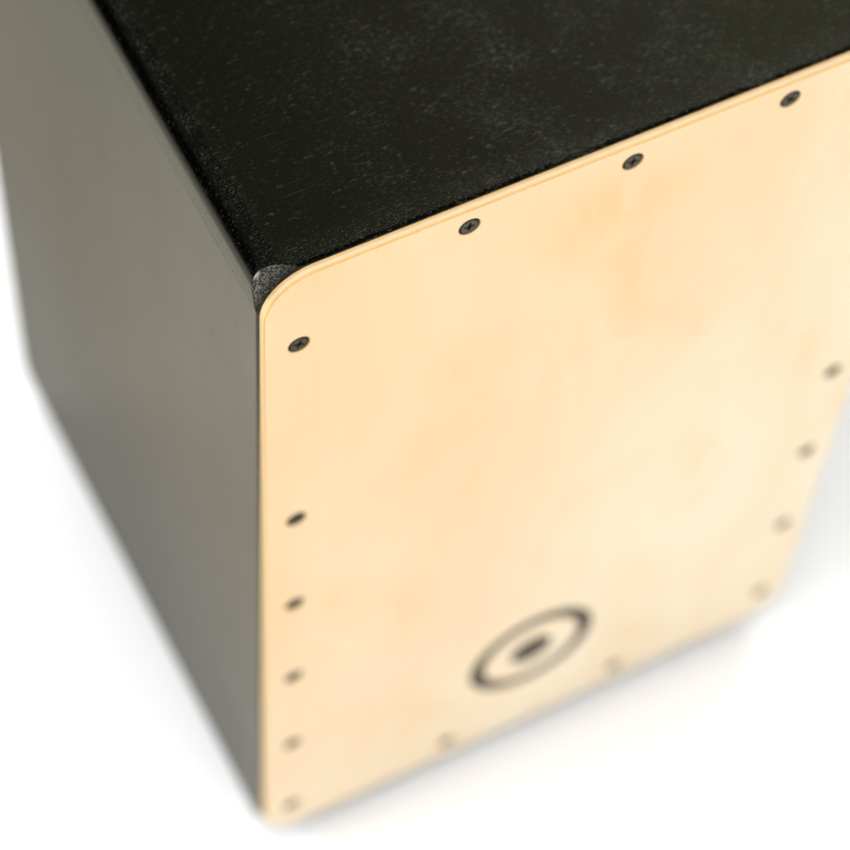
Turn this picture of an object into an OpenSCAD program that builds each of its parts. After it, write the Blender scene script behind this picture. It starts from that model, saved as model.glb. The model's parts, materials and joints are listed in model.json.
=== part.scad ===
// Cajon: a box drum with a screwed-on striking plate, flattened corners and
// a turning bar of snares. Millimetres. +Z up, the striking plate faces -Y, left
// is -X, and the origin is the centre of the footprint on the floor.

/* [Body] */
// Overall width across the sides
body_w = 300; // [280:1:320]
// Overall depth, striking plate included
body_d = 300; // [280:1:320]
// Height of the box without its feet
body_h = 485; // [470:1:520]
// Thickness of the seat board
seat_t = 18; // [16:0.5:20]
// Thickness of the two side boards
side_t = 10; // [9:0.5:11]
// Thickness of the base board
base_t = 12; // [11:0.5:14]
// Radius of the rounded edges where the sides meet the seat and the base
edge_r = 10; // [6:0.5:10.5]
// Radius of the eased upright edges at the front and the back
ease_r = 1; // [0.5:0.25:3]
// Radius of the rounded edges along the front and the back of the seat and the base
rim_r = 2; // [2:0.5:6]
// Flat sanded off each outer corner of the box: its run across
nick_x = 17.3; // [8:0.1:18]
// Its run front to back
nick_y = 9.8; // [5:0.1:12]
// Its run down
nick_z = 20.5; // [8:0.1:21]

/* [Striking plate] */
// Thickness of the plate
plate_t = 4; // [3:0.25:5]
// Gap between the plate's rim and the outside of the box
plate_reveal = 1; // [0.25:0.25:2]
// Radius of the plate's corners
plate_corner_r = 21; // [15:1:30]

/* [Back] */
// Thickness of the back board
back_t = 6; // [4:0.5:9]
// How far the back board sits inside the rear rim
back_recess = 1; // [0.5:0.5:3]
// Diameter of the sound port
port_d = 120; // [100:5:130]
// Height of the port's centre above the floor
port_z = 190; // [150:5:220]
// Section of the glued strips inside the back board
cleat = 15; // [12:1:18]

/* [Plate screws] */
// Distance of each screw column from the side of the box
column_inset = 15; // [14.5:0.25:17]
// Depth of the corner screws below the seat
corner_drop = 43.5; // [38:0.5:60]
// Depths of the column screws below the seat
column_drops = [172.5, 246, 316.5, 387.5, 459];
// Depth of the top row below the seat
top_row_drop = 11; // [8:0.5:12]
// Spacing of the top row
top_row_pitch = 67.5; // [50:0.5:80]
// Height of the bottom row above the underside of the box
bottom_row_rise = 16.5; // [15:0.5:20]
// Spacing of the bottom row
bottom_row_pitch = 97; // [80:1:120]
// Shank radius of a plate screw
screw_r = 2; // [1.75:0.05:2.1]
// Head radius of a plate screw
screw_head_r = 4.3; // [3.8:0.1:4.5]
// Length of a plate screw
screw_len = 20; // [16:1:21]

/* [Front strips] */
// Width of the glued front strips that the columns are screwed into
batten = 20; // [18:1:24]
// Depth of the glued front strips
batten_d = 18; // [16:1:20]

/* [Feet] */
// Height of a foot
foot_h = 15; // [12:1:18]
// Radius of a foot at its widest, just below the base
foot_r = 18; // [15:1:20]
// Distance of a foot's centre from the side of the box
foot_inset = 34; // [30:1:45]

/* [Snares] */
// Height of the snare bar's axis above the floor
bar_z = 340; // [330:1:345]
// Radius of the snare bar
bar_r = 10; // [9:0.5:11]
// Distance from the back of the plate to the bar's axis
bar_gap = 36; // [35:0.5:40]
// Lean of the snares towards the plate, in degrees
snare_lean = 11.3; // [10.5:0.1:13]
// Wires in each snare set
wire_count = 10; // [6:1:12]
// Outside radius of a coiled wire
wire_r = 0.65; // [0.5:0.05:0.68]
// Centre of each snare set from the middle of the bar
snare_x = 56; // [50:1:64]
// Clearance between the wire tips and the plate at rest
wire_gap = 0.15; // [0.1:0.05:0.5]

/* [Hidden] */
$fn = 72;
overlap = 0.01;  // by which joined solids run into each other
past = 1;        // by which cutters run past a face
slack = 0.05;    // radial clearance of screws in wood

// Colours
board_black = [0.10, 0.10, 0.09];
side_black = [0.16, 0.16, 0.15];
back_black = [0.12, 0.12, 0.11];
plate_wood = [0.93, 0.80, 0.60];
strip_wood = [0.80, 0.66, 0.45];
bar_wood = [0.78, 0.62, 0.42];
block_wood = [0.72, 0.56, 0.36];
screw_black = [0.13, 0.13, 0.13];
foot_black = [0.08, 0.08, 0.08];
zinc = [0.7, 0.7, 0.7];
strip_metal = [0.75, 0.74, 0.70];
wire_metal = [0.80, 0.80, 0.80];
lock_metal = [0.55, 0.55, 0.55];

// Box
top_z = foot_h + body_h;
half_w = body_w / 2;
plate_y = -body_d / 2;                // front face of the plate
front_y = plate_y + plate_t;          // front faces of the boards
rear_y = body_d / 2;
box_d = rear_y - front_y;
mid_y = (front_y + rear_y) / 2;       // centre of the box behind the plate
mid_z = foot_h + body_h / 2;
inner_x = half_w - side_t;
inner_lo = foot_h + base_t;
inner_hi = top_z - seat_t;
inner_h = inner_hi - inner_lo;
back_face = rear_y - back_recess;     // outer face of the back board
back_in = back_face - back_t;
flat_cutter = 60;                     // width of the block that cuts a corner flat

// Screws through the plate and the back
csk_rim = 0.5;                        // straight rim of a countersunk head
column_x = half_w - column_inset;
all_drops = concat([corner_drop], column_drops);
bottom_screw_len = screw_len - 3;
back_screw_r = 1.75;
back_screw_head_r = 3.6;
back_screw_len = 18;
back_screw_margin = 45;               // end screws of a back column, from seat or base
back_row_pitch = 85;

// Feet, heights from the floor
foot_taper = 3;
foot_bevel = 1.2;
foot_hole_r = 2.4;
foot_recess_r = 8;
washer_r = 7.4;
washer_hole_r = 2.3;
washer_t = 1.2;
washer_z = 8;
foot_screw_r = 2;
foot_bevel_h = 1.0;                   // bevel and straight side of the screw's head
foot_side_h = 1.4;
foot_screw_z = washer_z - foot_bevel_h - foot_side_h;
foot_pilot_depth = 10.5;

// Bearing blocks of the snare bar
block_w = 22;                         // across the box
block_d = 36;
block_h = 60;
block_screw_r = 1.9;
block_screw_head_r = 3.8;
block_screw_z = 22;                   // above and below the bar's axis
block_screw_bite = 7;                 // into the side board
bar_fit = 0.06;                       // radial clearance of bar and lock screw

// Snare bar and lever
bar_y = front_y + bar_gap;
bar_len = 2 * inner_x - 1;
flat_d = bar_r - 1;                   // distance of the milled flats from the axis
lever_angle = -143.1;                 // turn from the wires, down and to the rear
lever_r = 4;
lever_start = 2;                      // distances along the lever from the bar's axis
lever_len = 78;
knob_at = 82;
knob_r = 8;
lock_x = inner_x - block_w / 2 - 2;
lock_r = 2.5;

// Snare strips and wires
strip_w = 58;
strip_h = 16;
flat_w = strip_w + 4;                 // milled flat under a strip
leaf_t = 1;
leaf_gap = 1.4;
fold_z = -1;
fold_t = 0.9;
strip_d = 2 * leaf_t + leaf_gap;
strip_hole_r = 1.55;
strip_screw_r = 1.4;
strip_screw_x = 21;                   // from the middle of the strip
strip_screw_z = -4;
strip_bevel_h = 0.8;                  // bevel and straight side of the screw's head
strip_side_h = 0.8;
strip_pilot_depth = 12.5;
wire_pitch = 5.4;
wire_start = 0.1;
wire_y = flat_d + leaf_t + leaf_gap / 2;  // wire centres, in front of the axis
wire_len = (bar_gap - wire_gap - (wire_y + wire_r) * cos(snare_lean)) / sin(snare_lean);

// ---- shared shapes; side is -1 for left and 1 for right --------------------

module round_rect(width, height, radius) {
    square([width - 2 * radius, height], center = true);
    square([width, height - 2 * radius], center = true);
    for (x = [-1, 1], z = [-1, 1])
        translate([x * (width / 2 - radius), z * (height / 2 - radius)]) circle(r = radius);
}

// Plan outline of the box, extruded upwards, with eased vertical edges.
module plan_block(bottom, top) {
    translate([0, mid_y, bottom])
        linear_extrude(top - bottom) round_rect(body_w, box_d, ease_r);
}

// Front outline of the whole box, extruded from back to front.
module front_block() {
    translate([0, rear_y, mid_z]) rotate([90, 0, 0])
        linear_extrude(box_d) round_rect(body_w, body_h, edge_r);
}

// Side outline of the whole box, extruded across.
module side_block() {
    translate([-half_w, mid_y, mid_z]) rotate([90, 0, 90])
        linear_extrude(body_w) round_rect(box_d, body_h, rim_r);
}

// The flats sanded off the eight outer corners. Each cutter's underside lies in
// the plane through the ends of the three runs.
module corner_flats() {
    normal = [1 / nick_x, 1 / nick_y, 1 / nick_z];
    steepness = norm(normal);
    for (x = [-1, 1], y = [-1, 1], z = [-1, 1])
        translate([x * half_w, mid_y + y * box_d / 2, mid_z + z * body_h / 2])
            rotate([0, acos(z * normal[2] / steepness), atan2(y * normal[1], x * normal[0])])
                translate([-flat_cutter / 2, -flat_cutter / 2, -1 / steepness])
                    cube([flat_cutter, flat_cutter, flat_cutter / 2]);
}

// The solid box between two heights.
module box_slice(bottom, top) {
    difference() {
        intersection() {
            plan_block(bottom, top);
            front_block();
            side_block();
        }
        corner_flats();
    }
}

// Cross recess cut upwards from z = 0.
module cross_recess(length, width, depth) {
    for (turn = [0, 90]) rotate([0, 0, turn])
        translate([-length / 2, -width / 2, -overlap]) cube([length, width, depth]);
}

// Countersunk screw pointing along +Y: the head's face lies at y = 0.
module csk_screw(length, radius, head_r) {
    head_h = head_r - radius + csk_rim;
    tip_h = radius * 2;
    rotate([-90, 0, 0]) difference() {
        union() {
            cylinder(r = head_r, h = csk_rim);
            translate([0, 0, csk_rim - overlap])
                cylinder(r1 = head_r, r2 = radius, h = head_h - csk_rim + overlap);
            translate([0, 0, head_h - overlap]) cylinder(r = radius, h = length - head_h - tip_h);
            translate([0, 0, length - tip_h - 2 * overlap])
                cylinder(r1 = radius, r2 = 0.3, h = tip_h);
        }
        cross_recess(length = head_r * 1.04, width = 0.9, depth = 1.5);
    }
}

// The clear hole and countersink that such a screw needs.
module csk_hole(depth, radius, head_r) {
    head_h = head_r - radius + csk_rim;
    rotate([-90, 0, 0]) {
        translate([0, 0, -past]) cylinder(r = head_r + slack, h = past + csk_rim);
        translate([0, 0, csk_rim - overlap])
            cylinder(r1 = head_r + slack, r2 = radius + slack, h = head_h - csk_rim + overlap);
        translate([0, 0, head_h - overlap]) cylinder(r = radius + slack, h = depth);
    }
}

// Blind hole along +Y from y = 0.
module pilot(depth, radius) {
    rotate([-90, 0, 0]) translate([0, 0, -past]) cylinder(r = radius + slack, h = depth + past);
}

// Flat-headed screw pointing along +Z from z = 0, with a bevelled head.
module flat_screw(face_r, head_r, bevel_h, side_h, shank_r, shank_h, tip_r, tip_h) {
    head_h = bevel_h + side_h;
    cylinder(r1 = face_r, r2 = head_r, h = bevel_h);
    translate([0, 0, bevel_h - overlap]) cylinder(r = head_r, h = side_h + overlap);
    translate([0, 0, head_h - overlap]) cylinder(r = shank_r, h = shank_h);
    translate([0, 0, head_h + shank_h - 2 * overlap]) cylinder(r1 = shank_r, r2 = tip_r, h = tip_h);
}

module plate_screw(length = screw_len) csk_screw(length, screw_r, screw_head_r);
module plate_hole() csk_hole(plate_t + 2 * past, screw_r, screw_head_r);
module plate_pilot() pilot(screw_len + 1, screw_r);
module back_pilot() pilot(back_screw_len + 1, back_screw_r);

// ---- places ---------------------------------------------------------------

module at_column(side, drops) {
    for (drop = drops) translate([side * column_x, plate_y, top_z - drop]) children();
}

module at_top_row() {
    for (i = [-1:1]) translate([i * top_row_pitch, plate_y, top_z - top_row_drop]) children();
}

module at_bottom_row() {
    for (i = [-0.5, 0.5])
        translate([i * bottom_row_pitch, plate_y, foot_h + bottom_row_rise]) children();
}

module at_foot(x, y) {
    translate([x * (half_w - foot_inset), y * (rear_y - foot_inset), 0]) children();
}

module at_feet() {
    for (x = [-1, 1], y = [-1, 1]) at_foot(x, y) children();
}

// On the back board's outer face, with +Y turned to point forwards.
module at_back() {
    column_step = (inner_h - 2 * back_screw_margin) / 3;
    for (x = [-1, 1], i = [0:3])
        translate([x * (inner_x - cleat / 2), back_face,
                   inner_lo + back_screw_margin + i * column_step])
            mirror([0, 1, 0]) children();
    for (i = [-1, 0, 1], z = [inner_hi - cleat / 2, inner_lo + cleat / 2])
        translate([i * back_row_pitch, back_face, z]) mirror([0, 1, 0]) children();
}

// On the blocks' inner faces, with +Y turned towards the side board.
module at_blocks(sides) {
    for (side = sides, z = [-1, 1])
        translate([side * (inner_x - block_w), bar_y, bar_z + z * block_screw_z])
            rotate([0, 0, -90 * side]) children();
}

// The frame of the snare bar: +Z runs along the wires, -Y faces the plate.
module on_bar() {
    translate([0, bar_y, bar_z]) rotate([snare_lean, 0, 0]) children();
}

// ---- box ------------------------------------------------------------------

module seat_panel() color(board_black) difference() {
    box_slice(inner_hi, top_z + past);
    at_top_row() plate_pilot();
}

module bottom_panel() color(board_black) difference() {
    box_slice(foot_h - past, inner_lo);
    at_feet() translate([0, 0, foot_h - past])
        cylinder(r = foot_screw_r + slack, h = foot_pilot_depth + past);
}

module side_panel(side) color(side_black) difference() {
    box_slice(inner_lo, inner_hi);
    // Clear the inside, then the half of the box with the other side.
    translate([-inner_x, front_y - past, inner_lo - past])
        cube([2 * inner_x, box_d + 2 * past, inner_h + 2 * past]);
    translate([side > 0 ? -half_w - past : 0, front_y - past, inner_lo - past])
        cube([half_w + past, box_d + 2 * past, inner_h + 2 * past]);
    // These pilots end 0.6 beyond the screw tips.
    at_blocks([side]) translate([0, block_w - past, 0])
        pilot(block_screw_bite + past + 0.6, block_screw_r);
}
module left_side_panel() side_panel(-1);
module right_side_panel() side_panel(1);

module back_panel() color(back_black) difference() {
    translate([-inner_x, back_in, inner_lo]) cube([2 * inner_x, back_t, inner_h]);
    translate([0, back_in - past, port_z]) rotate([-90, 0, 0])
        cylinder(r = port_d / 2, h = back_t + 2 * past, $fn = 128);
    at_back() csk_hole(back_t + 2 * past, back_screw_r, back_screw_head_r);
}

module frontplate() color(plate_wood) difference() {
    translate([0, front_y, mid_z]) rotate([90, 0, 0]) linear_extrude(plate_t)
        round_rect(body_w - 2 * plate_reveal, body_h - 2 * plate_reveal, plate_corner_r);
    for (side = [-1, 1]) at_column(side, all_drops) plate_hole();
    at_top_row() plate_hole();
    at_bottom_row() plate_hole();
}

module front_batten(side) color(strip_wood) difference() {
    translate([side > 0 ? inner_x - batten : -inner_x, front_y, inner_lo])
        cube([batten, batten_d, inner_h]);
    at_column(side, all_drops) plate_pilot();
}
module front_batten_left() front_batten(-1);
module front_batten_right() front_batten(1);
module front_batten_bottom() color(strip_wood) difference() {
    translate([-inner_x + batten, front_y, inner_lo])
        cube([2 * (inner_x - batten), batten_d, batten]);
    at_bottom_row() plate_pilot();
}

module rear_cleat(x, z, width, height) color(strip_wood) difference() {
    translate([x, back_in - cleat, z]) cube([width, cleat, height]);
    at_back() back_pilot();
}
module rear_cleat_across(z) rear_cleat(-inner_x + cleat, z, 2 * (inner_x - cleat), cleat);
module rear_cleat_left() rear_cleat(-inner_x, inner_lo, cleat, inner_h);
module rear_cleat_right() rear_cleat(inner_x - cleat, inner_lo, cleat, inner_h);
module rear_cleat_top() rear_cleat_across(inner_hi - cleat);
module rear_cleat_bottom() rear_cleat_across(inner_lo);

// ---- fasteners ------------------------------------------------------------

module column_screws(side, drops) color(screw_black) at_column(side, drops) plate_screw();
module frontplate_screws_left() column_screws(-1, column_drops);
module frontplate_screws_right() column_screws(1, column_drops);
module slap_screw_left() column_screws(-1, [corner_drop]);
module slap_screw_right() column_screws(1, [corner_drop]);
module frontplate_screws_top() color(screw_black) at_top_row() plate_screw();
module frontplate_screws_bottom() color(screw_black)
    at_bottom_row() plate_screw(bottom_screw_len);
module back_panel_screws() color(screw_black)
    at_back() csk_screw(back_screw_len, back_screw_r, back_screw_head_r);

// ---- feet -----------------------------------------------------------------

// Turned foot, open below; its outline is [radius, height].
module foot(x, y) color(foot_black) at_foot(x, y) {
    recess_top = washer_z + washer_t;
    rotate_extrude() polygon([
        [foot_recess_r, 0],
        [foot_r - foot_taper - foot_bevel, 0],
        [foot_r - foot_taper, foot_bevel],
        [foot_r, foot_h - foot_bevel],
        [foot_r - 1, foot_h],
        [foot_hole_r, foot_h],
        [foot_hole_r, recess_top],
        [foot_recess_r, recess_top]]);
}
module foot_front_left() foot(-1, -1);
module foot_front_right() foot(1, -1);
module foot_rear_left() foot(-1, 1);
module foot_rear_right() foot(1, 1);

module foot_washers() color(zinc) at_feet() translate([0, 0, washer_z]) difference() {
    cylinder(r = washer_r, h = washer_t);
    translate([0, 0, -past]) cylinder(r = washer_hole_r, h = 4);
}

module foot_screws() color(zinc) at_feet() translate([0, 0, foot_screw_z]) difference() {
    union() flat_screw(face_r = 3.4, head_r = 4.2, bevel_h = foot_bevel_h, side_h = foot_side_h,
                       shank_r = foot_screw_r, shank_h = 14, tip_r = 0.3, tip_h = 2.8);
    cross_recess(length = 4.2, width = 0.9, depth = 1.4);
}

// ---- snares ---------------------------------------------------------------

module snare_bar() color(bar_wood) on_bar() difference() {
    translate([-bar_len / 2, 0, 0]) rotate([0, 90, 0]) cylinder(r = bar_r, h = bar_len);
    for (side = [-1, 1])
        translate([side * snare_x - flat_w / 2, -bar_r - past, -bar_r - past])
            cube([flat_w, bar_r + past - flat_d, 2 * (bar_r + past)]);
    for (side = [-1, 1], i = [-1, 1])
        translate([side * snare_x + i * strip_screw_x, -flat_d, strip_screw_z])
            pilot(strip_pilot_depth, strip_screw_r);
    rotate([lever_angle, 0, 0]) translate([0, 0, lever_start])
        cylinder(r = lever_r + 0.02, h = bar_r);
}

// Bearing block; only the right one has the hole for the lock screw.
module snare_block(side) color(block_wood) difference() {
    translate([side > 0 ? inner_x - block_w : -inner_x, bar_y - block_d / 2, bar_z - block_h / 2])
        cube([block_w, block_d, block_h]);
    translate([-half_w, bar_y, bar_z]) rotate([0, 90, 0])
        cylinder(r = bar_r + bar_fit, h = body_w);
    at_blocks([side]) csk_hole(block_w, block_screw_r, block_screw_head_r);
    if (side > 0) translate([lock_x, bar_y, bar_z]) rotate([-90, 0, 0])
        cylinder(r = lock_r + bar_fit, h = block_d);
}
module snare_block_left() snare_block(-1);
module snare_block_right() snare_block(1);
module snare_block_screws() color(zinc)
    at_blocks([-1, 1]) csk_screw(block_w + block_screw_bite, block_screw_r, block_screw_head_r);

// Folded strip: the back leaf is screwed down, the short front leaf covers the wire ends.
module snare_strip(side) color(strip_metal) on_bar()
    translate([side * snare_x, 0, 0]) difference() {
        union() {
            translate([-strip_w / 2, -flat_d - leaf_t, -strip_h / 2])
                cube([strip_w, leaf_t, strip_h]);
            translate([-strip_w / 2, -flat_d - strip_d, fold_z])
                cube([strip_w, leaf_t, strip_h / 2 - fold_z]);
            translate([-strip_w / 2, -flat_d - strip_d, fold_z]) cube([strip_w, strip_d, fold_t]);
        }
        for (i = [-1, 1])
            translate([i * strip_screw_x, -flat_d - leaf_t - past, strip_screw_z])
                pilot(4, strip_hole_r);
    }
module snare_strip_left() snare_strip(-1);
module snare_strip_right() snare_strip(1);

module snare_wires(side) color(wire_metal) on_bar()
    for (i = [0:wire_count - 1])
        translate([side * snare_x + (i - (wire_count - 1) / 2) * wire_pitch, -wire_y, wire_start])
            cylinder(r = wire_r, h = wire_len - wire_start, $fn = 24);
module snare_wires_left() snare_wires(-1);
module snare_wires_right() snare_wires(1);

module snare_strip_screws() color(zinc) on_bar()
    for (side = [-1, 1], i = [-1, 1])
        translate([side * snare_x + i * strip_screw_x,
                   -flat_d - leaf_t - strip_bevel_h - strip_side_h, strip_screw_z])
            rotate([-90, 0, 0]) difference() {
                union() flat_screw(face_r = 2, head_r = 2.7,
                                   bevel_h = strip_bevel_h, side_h = strip_side_h,
                                   shank_r = strip_screw_r, shank_h = 10,
                                   tip_r = 0.2, tip_h = 2);
                cross_recess(length = 3, width = 0.6, depth = 0.9);
            }

module snare_lever() color(block_wood) on_bar() rotate([lever_angle, 0, 0]) {
    translate([0, 0, lever_start]) cylinder(r = lever_r, h = lever_len);
    translate([0, 0, knob_at]) sphere(r = knob_r);
}

// Wing screw that enters the right block from behind and stops just short of the bar.
module snare_lock_screw() color(lock_metal)
    translate([lock_x, bar_y + bar_r + 0.15, bar_z]) rotate([-90, 0, 0]) {
        reach = block_d / 2 - bar_r;
        wing = [20, 2.5, 9];
        cylinder(r = lock_r, h = reach + 1);
        translate([0, 0, reach + 0.85]) cylinder(r1 = 4.5, r2 = 5.2, h = 3);      // collar
        translate([-wing[0] / 2, -wing[1] / 2, reach + 3]) cube(wing);
        translate([0, 0, reach + 3.8]) cylinder(r = 4, h = 6);                    // hub
    }

seat_panel();
bottom_panel();
left_side_panel();
right_side_panel();
back_panel();
frontplate();
front_batten_left();
front_batten_right();
front_batten_bottom();
rear_cleat_left();
rear_cleat_right();
rear_cleat_top();
rear_cleat_bottom();
frontplate_screws_left();
frontplate_screws_right();
frontplate_screws_top();
frontplate_screws_bottom();
slap_screw_left();
slap_screw_right();
back_panel_screws();
foot_front_left();
foot_front_right();
foot_rear_left();
foot_rear_right();
foot_washers();
foot_screws();
snare_bar();
snare_block_left();
snare_block_right();
snare_block_screws();
snare_strip_left();
snare_strip_right();
snare_wires_left();
snare_wires_right();
snare_strip_screws();
snare_lever();
snare_lock_screw();
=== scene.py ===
# A box drum with a birch striking plate, black satin boards, snares and rubber feet.
# It stands on the floor at z = 0. The plate faces the front (-y), the sound port is in the
# back board (+y), x runs from left to right as seen from the front, and the seat is on top.

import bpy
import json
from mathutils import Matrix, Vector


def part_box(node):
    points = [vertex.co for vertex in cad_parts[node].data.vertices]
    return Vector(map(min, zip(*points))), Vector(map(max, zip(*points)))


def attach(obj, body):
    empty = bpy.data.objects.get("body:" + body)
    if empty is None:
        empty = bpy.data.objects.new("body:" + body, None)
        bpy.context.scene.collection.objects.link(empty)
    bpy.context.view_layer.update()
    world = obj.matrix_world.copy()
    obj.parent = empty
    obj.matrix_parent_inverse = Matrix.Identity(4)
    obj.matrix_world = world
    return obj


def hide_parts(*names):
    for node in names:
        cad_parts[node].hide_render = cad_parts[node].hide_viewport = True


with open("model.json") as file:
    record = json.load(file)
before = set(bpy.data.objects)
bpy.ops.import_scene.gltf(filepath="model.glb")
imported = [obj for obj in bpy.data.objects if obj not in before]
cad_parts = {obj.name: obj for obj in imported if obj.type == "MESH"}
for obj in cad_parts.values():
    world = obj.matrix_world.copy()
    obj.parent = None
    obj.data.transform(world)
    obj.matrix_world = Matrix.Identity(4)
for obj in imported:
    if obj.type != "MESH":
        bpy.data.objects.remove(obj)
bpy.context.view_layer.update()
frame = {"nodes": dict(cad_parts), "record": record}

import json
import math
import random

import bmesh
import bpy
from mathutils import Matrix, Vector

random.seed(7)
scene = bpy.context.scene
NODES = frame["nodes"]
MM = 0.001

plate_low, plate_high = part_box("frontplate")
plate_face, plate_back = plate_low.y, plate_high.y


# ---------------------------------------------------------------- shader graphs

class Value:
    """A node output. Arithmetic on it adds Math nodes to its graph."""

    def __init__(self, graph, socket):
        self.graph = graph
        self.socket = socket

    def __add__(self, other):
        return self.graph.math("ADD", self, other)

    def __radd__(self, other):
        return self.graph.math("ADD", other, self)

    def __sub__(self, other):
        return self.graph.math("SUBTRACT", self, other)

    def __rsub__(self, other):
        return self.graph.math("SUBTRACT", other, self)

    def __mul__(self, other):
        return self.graph.math("MULTIPLY", self, other)

    def __abs__(self):
        return self.graph.math("ABSOLUTE", self)


class Graph:
    """Builds a node tree. idle is the value on Math inputs that an operation leaves unused."""

    def __init__(self, tree, idle=0.0):
        self.tree = tree
        self.idle = idle
        tree.nodes.clear()

    def put(self, socket, value):
        if isinstance(value, Value):
            self.tree.links.new(value.socket, socket)
            return
        if isinstance(value, tuple) and len(value) < len(socket.default_value):
            value = (*value, 1.0)  # an opaque colour
        socket.default_value = value

    def node(self, kind, inputs=None, outlet=0, **settings):
        """Add a node, fill its inputs by name or index, and return one output."""
        made = self.tree.nodes.new(kind)
        for key, setting in settings.items():
            setattr(made, key, setting)
        for key, value in (inputs or {}).items():
            self.put(made.inputs[key], value)
        return Value(self, made.outputs[outlet])

    def finish(self, kind, shader):
        self.put(self.tree.nodes.new(kind).inputs[0], shader)

    def math(self, operation, first, second=None):
        second = self.idle if second is None else second
        return self.node("ShaderNodeMath", {0: first, 1: second, 2: self.idle},
                         operation=operation)

    def maximum(self, first, second):
        return self.math("MAXIMUM", first, second)

    def distance(self, *offsets):
        squares = [offset * offset for offset in offsets]
        total = squares.pop()
        while squares:
            total = squares.pop() + total
        return self.math("SQRT", total)

    def ramp(self, value, span, to=(0.0, 1.0), curve="SMOOTHSTEP"):
        """Carry value across span onto the range to, held at both ends."""
        return self.node("ShaderNodeMapRange",
                         {0: value, 1: span[0], 2: span[1], 3: to[0], 4: to[1]},
                         interpolation_type=curve)


class Surface(Graph):
    """A procedural material in object coordinates."""

    INPUTS = {"color": "Base Color", "rough": "Roughness", "metal": "Metallic", "ior": "IOR",
              "spec": "Specular IOR Level", "normal": "Normal", "coat": "Coat Weight",
              "coat_rough": "Coat Roughness"}

    def __init__(self, name):
        self.material = bpy.data.materials.new(name)
        self.material.use_nodes = True
        super().__init__(self.material.node_tree)
        self.place = self.node("ShaderNodeTexCoord", outlet="Object")

    def parts(self, vector):
        split = self.node("ShaderNodeSeparateXYZ", {0: vector})
        return [Value(self, socket) for socket in split.socket.node.outputs]

    def position(self):
        return self.parts(self.place)

    def facing(self):
        return self.parts(self.node("ShaderNodeNewGeometry", outlet="Normal"))

    def noise(self, scale, detail=2.0, rough=0.5, offset=(0, 0, 0), distort=0.0):
        """Noise with a scale for each axis, or one scale for all three."""
        scale = scale if isinstance(scale, tuple) else (scale,) * 3
        mapped = self.node("ShaderNodeMapping",
                           {"Vector": self.place, "Scale": scale, "Location": offset})
        return self.node("ShaderNodeTexNoise",
                         {"Vector": mapped, "Scale": 1.0, "Detail": detail,
                          "Roughness": rough, "Distortion": distort})

    def mix(self, amount, under, over):
        return self.node("ShaderNodeMix", {0: amount, 6: under, 7: over}, outlet=2,
                         data_type="RGBA")

    def bump(self, height, distance, strength):
        return self.node("ShaderNodeBump", {"Strength": strength, "Distance": distance,
                                            "Height": height})

    def principled(self, **looks):
        return self.node("ShaderNodeBsdfPrincipled",
                         {self.INPUTS[key]: value for key, value in looks.items()})

    def done(self, shader):
        self.finish("ShaderNodeOutputMaterial", shader)
        return self.material


def stretched(grain, along, across):
    """Noise scales for figure that runs along the grain axis."""
    return tuple(along if axis == grain else across for axis in "XYZ")


def scaled(values, factor):
    return tuple(value * factor for value in values)


# ---------------------------------------------------------------- materials

# Middle of the box for the dust on the boards and the painted shade and highlight on the flats,
# and the tips of the sanded corners, where the highlight is painted, measured from it: across,
# front to back, and up or down
DUST_AND_PAINTED_LIGHT_MID_Y, PAINTED_HIGHLIGHT_MID_Z = 0.002, 0.2575
CORNER_TIP = (0.1483, 0.1410, 0.2386)
FLAT_NORMAL = (0.455, 0.803, 0.384)  # which way the sanded corner flats face, for any corner


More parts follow.
